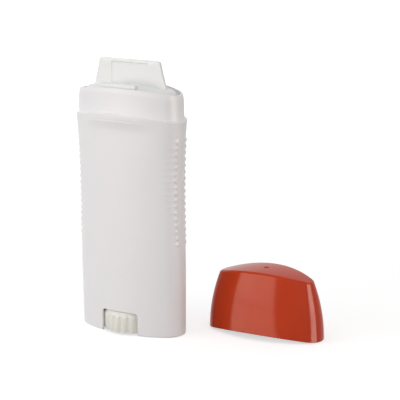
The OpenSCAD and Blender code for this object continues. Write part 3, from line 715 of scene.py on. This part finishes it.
def make_seal():
    rings = [crown_ring(s, SEAL_T) for s in (EYE, 0.25, 0.5, 0.75)]
    rings += [seal_ring(1 - i / 8, SEAL_T, SEAL_T) for i in range(9)]
    rings += [ring(PLUG_LOW_Z, SEAL_A - SEAL_T, SEAL_B - SEAL_T, SEAL_R - SEAL_T),
              ring(PLUG_LOW_Z, SEAL_A - 0.3, SEAL_B - 0.3, SEAL_R - 0.3),
              ring(PLUG_LOW_Z + 0.4, SEAL_A, SEAL_B, SEAL_R),
              ring(SEAL_EDGE_Z - SEAL_EDGE_R, SEAL_A, SEAL_B, SEAL_R, RIM_ARCH),
              ring(SEAL_EDGE_Z - 0.12, SEAL_A - 0.12, SEAL_B - 0.12, SEAL_R - 0.12, RIM_ARCH)]
    rings += [seal_ring(i / 12, 0, SEAL_EDGE_R) for i in range(13)]
    rings += [crown_ring(s, 0) for s in (0.9, 0.8, 0.7, 0.6, 0.5, 0.4, 0.3, 0.2, 0.1, EYE)]
    seal = loft("pull_seal", rings)
    fuse(seal, make_tab(), make_lip(1), make_lip(-1))
    return smooth_shaded(seal)


# Cap

def cap_ring(share, inset):
    """A ring of the cap's wall at a share of its height. The wall bows in towards the top."""
    bend = share ** CAP_POWER
    return ring(CAP_H * share, SHOULDER_A - (SHOULDER_A - CAP_TOP_A) * bend - inset,
                SHOULDER_B - (SHOULDER_B - CAP_TOP_B) * bend - inset,
                SHOULDER_R - (SHOULDER_R - CAP_TOP_R) * bend - inset,
                SHOULDER_ARCH + (CAP_ARCH - SHOULDER_ARCH) * share)


def cap_top_ring(s, inset, drop):
    """A ring of the cap's top at the share s of its outline."""
    return inner_ring(s, CAP_H - drop, CAP_TOP_A - inset, CAP_TOP_B - inset, CAP_TOP_R - inset,
                      CAP_ARCH, CAP_CROWN)


def make_cap():
    top, edge, rows = 1 - CAP_EDGE_R / CAP_H, CAP_EDGE_R, 40
    rings = [cap_top_ring(s, CAP_T, CAP_T) for s in (EYE, 0.2, 0.4, 0.6, 0.8, 0.93)]
    rings += [cap_ring(top * k / rows, CAP_T) for k in range(rows, 0, -1)]
    rings += [cap_ring(SOFT / CAP_H, CAP_T), cap_ring(0, CAP_T - 0.15), cap_ring(0, SOFT),
              cap_ring(0.06 / CAP_H, 0.06), cap_ring(SOFT / CAP_H, 0)]
    rings += [cap_ring(top * k / rows, 0) for k in range(1, rows + 1)]
    rings += [cap_top_ring(1, edge * (1 - math.cos(t)), edge * (1 - math.sin(t)))
              for t in (math.radians(15 * i) for i in range(1, 7))]
    rings += [cap_top_ring(s, edge, 0)
              for s in (0.97, 0.9, 0.8, 0.7, 0.6, 0.5, 0.4, 0.3, 0.2, 0.1, EYE)]
    cap = loft("red_cap", rings)
    crest = CAP_H + CAP_ARCH + CAP_CROWN
    cut(cap, rod("gate_cutter", GATE_R, crest - GATE_DEPTH, crest + 2 * CUT_PAST, 48))
    fuse(cap, rod("gate_stub", GATE_STUB_R, crest - GATE_DEPTH - 0.1, crest - 0.08, 24))
    cap.location = Vector((CAP_X, CAP_Y, 0)) * MM
    turned(cap, CAP_TURN)
    return smooth_shaded(cap)


# Materials

def moulded_plastic(name, light, dark, roughness, spread, grain, wave, specular, subsurface):
    """Injection-moulded plastic: its colour varies a little where the melt flowed (patches of about
    15 mm), and its skin has a fine mould grain and is slightly wavy (about 7 mm). The grain's real
    0.05 mm is drawn at 0.35 mm, so that it still shows in a close view. grain and wave are
    depths."""
    material = bpy.data.materials.new(name)
    material.use_nodes = True
    tree = material.node_tree
    tree.nodes.clear()
    place = add(tree, "ShaderNodeTexCoord").outputs["Object"]
    flow, speck, swelling = [
        add(tree, "ShaderNodeTexNoise", {"Vector": place, "Scale": 1 / (size * MM),
                                         "Detail": detail})
        for size, detail in ((FLOW_SIZE, 2), (GRAIN_SIZE, 1), (WAVE_SIZE, 0))]
    colour = add(tree, "ShaderNodeMix", {"Factor": flow.outputs["Fac"], "A": linear(light),
                                         "B": linear(dark)}, data_type="RGBA")
    rough = add(tree, "ShaderNodeMapRange", {"Value": speck.outputs["Fac"],
                                             "To Min": roughness - spread,
                                             "To Max": roughness + spread})
    fine = add(tree, "ShaderNodeBump", {"Height": speck.outputs["Fac"], "Strength": 1,
                                        "Distance": grain * MM})
    bump = add(tree, "ShaderNodeBump", {"Height": swelling.outputs["Fac"], "Strength": 1,
                                        "Distance": wave * MM, "Normal": fine.outputs[0]})
    shader = add(tree, "ShaderNodeBsdfPrincipled", {
        "Base Color": colour.outputs["Result"], "Roughness": rough.outputs[0],
        "Normal": bump.outputs[0], "IOR": PLASTIC_IOR, "Specular IOR Level": specular,
        "Subsurface Weight": subsurface, "Subsurface Scale": BLEED_SIZE * MM,
        "Subsurface Radius": (1, 0.9, 0.8)})
    add(tree, "ShaderNodeOutputMaterial", {"Surface": shader.outputs[0]})
    return material


def dress(piece, material, body, node_name):
    """Gives a piece its material and its body, in place of the node's solid."""
    piece.data.materials.clear()
    piece.data.materials.append(material)
    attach(piece, body)
    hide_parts(node_name)


# Satin polypropylene gives a soft, broad sheen and almost no mirror image
barrel_white = moulded_plastic("Satin white moulded polypropylene", "#EDEBEC", "#EAE8E9",
                               roughness=0.38, spread=0.04, grain=0.004, wave=0.01,
                               specular=0.22, subsurface=0.1)
seal_white = moulded_plastic("Soft white moulded polyethylene", "#E6E7E7", "#E3E4E4",
                             roughness=0.34, spread=0.05, grain=0.004, wave=0.01,
                             specular=0.36, subsurface=0.15)
dial_ivory = moulded_plastic("Natural ivory moulded polypropylene", "#E6E5DE", "#E1E0D8",
                             roughness=0.34, spread=0.05, grain=0.003, wave=0.01,
                             specular=0.36, subsurface=0.1)
lift_white = moulded_plastic("Natural moulded polypropylene", "#EDECE8", "#E7E5DF",
                             roughness=0.38, spread=0.05, grain=0.004, wave=0.01,
                             specular=0.36, subsurface=0.1)
# Polished moulds give the coloured cap a gloss with soft-edged reflections
cap_red = moulded_plastic("Glossy red polypropylene", "#C23A10", "#BA340E",
                          roughness=0.15, spread=0.03, grain=0.0015, wave=0.012,
                          specular=0.175, subsurface=0.0)

dress(make_barrel(), barrel_white, "barrel_body", "barrel")
dress(make_dial_screw(), dial_ivory, "dial_body", "dial_screw")
dress(make_elevator(), lift_white, "elevator_body", "elevator")
dress(make_seal(), seal_white, "seal_body", "seal")
dress(make_cap(), cap_red, "cap_body", "cap")

bpy.context.scene.view_settings.view_transform = "Standard"
